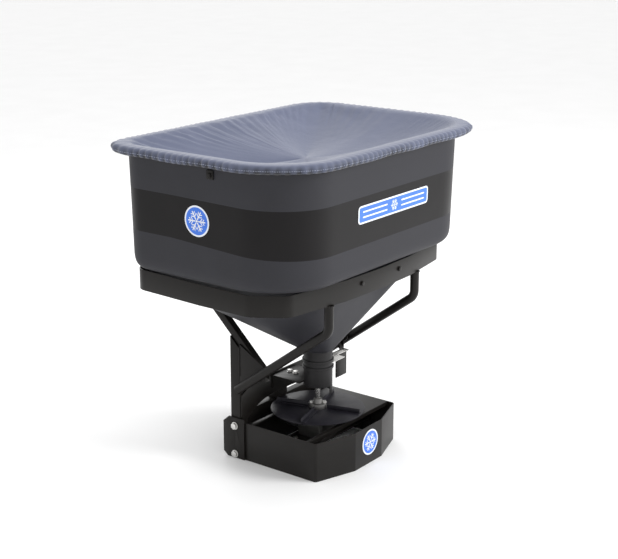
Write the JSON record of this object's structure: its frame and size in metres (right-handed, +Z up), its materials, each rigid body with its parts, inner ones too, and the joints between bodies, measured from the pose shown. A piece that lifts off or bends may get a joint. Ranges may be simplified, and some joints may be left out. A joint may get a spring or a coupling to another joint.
{
  "type": "tailgate salt spreader",
  "caption": "Hitch-mounted salt spreader: poly hopper with fabric cover in a steel band and tube frame, slide gate, motor-driven spinner disc in a faceted shroud.",
  "frame": {"origin": "on the ground plane under the middle of the hopper", "axes": "+Z up, +Y towards the truck, X across it"},
  "size_m": [1.044, 0.716, 1.0435],
  "materials": {
    "powder_black": "black powder coat",
    "poly_grey": "textured polyethylene, darker stripe",
    "cover_fabric": "coated woven cover",
    "chute_black": "black powder coat",
    "badge_vinyl": "printed vinyl",
    "spinner_poly": "moulded dark plastic",
    "steel_bright": "bare steel",
    "cast_body": "painted casting",
    "motor_black": "gloss paint",
    "zinc_bolt": "zinc plated"
  },
  "bodies": {
    "frame": {"back_plate": "powder_black", "band_bolts": "zinc_bolt", "bent_tube_left": "powder_black", "bent_tube_right": "powder_black", "bracket_bolts": "zinc_bolt", "collar_lower": "chute_black", "collar_upper": "chute_black", "cover_hooks": "powder_black", "drawbar": "powder_black", "drive_motor": "motor_black", "foot_bolts": "zinc_bolt", "foot_plate_left": "powder_black", "foot_plate_right": "powder_black", "gearbox": "cast_body", "gusset_left": "powder_black", "gusset_right": "powder_black", "hitch_beam": "powder_black", "hitch_post": "powder_black", "hopper_band": "powder_black", "hopper_tub": "poly_grey", "leg_left": "powder_black", "leg_right": "powder_black", "motor_bolts": "zinc_bolt", "motor_plate": "powder_black", "neck_bracket": "powder_black", "outlet_chute": "chute_black", "rear_badge": "badge_vinyl", "shroud": "powder_black", "shroud_back": "powder_black", "shroud_badge": "badge_vinyl", "shroud_deck": "powder_black", "side_badge": "badge_vinyl", "strut_left": "powder_black", "strut_right": "powder_black"},
    "spinner": {"drive_shaft": "steel_bright", "spinner_hub": "cast_body", "spinner_disc": "spinner_poly", "spinner_paddles": "spinner_poly", "agitator": "steel_bright", "hub_bolts": "zinc_bolt"},
    "gate": {"slide_gate": "steel_bright", "gate_handle": "powder_black"},
    "cover": {"hopper_cover": "cover_fabric", "cover_hem": "cover_fabric"}
  },
  "joints": [
    {"name": "spinner_turn", "type": "hinge", "parent": "frame", "child": "spinner", "pos_m": [0, -0.052, 0.14], "axis": [0, 0, 1], "continuous": true},
    {"name": "gate_slide", "type": "slide", "parent": "frame", "child": "gate", "axis": [1, 0, 0], "range_m": [0, 0.08]},
    {"name": "cover_lift", "type": "slide", "parent": "frame", "child": "cover", "axis": [0, 0, 1], "range_m": [0, 0.2]}
  ]
}
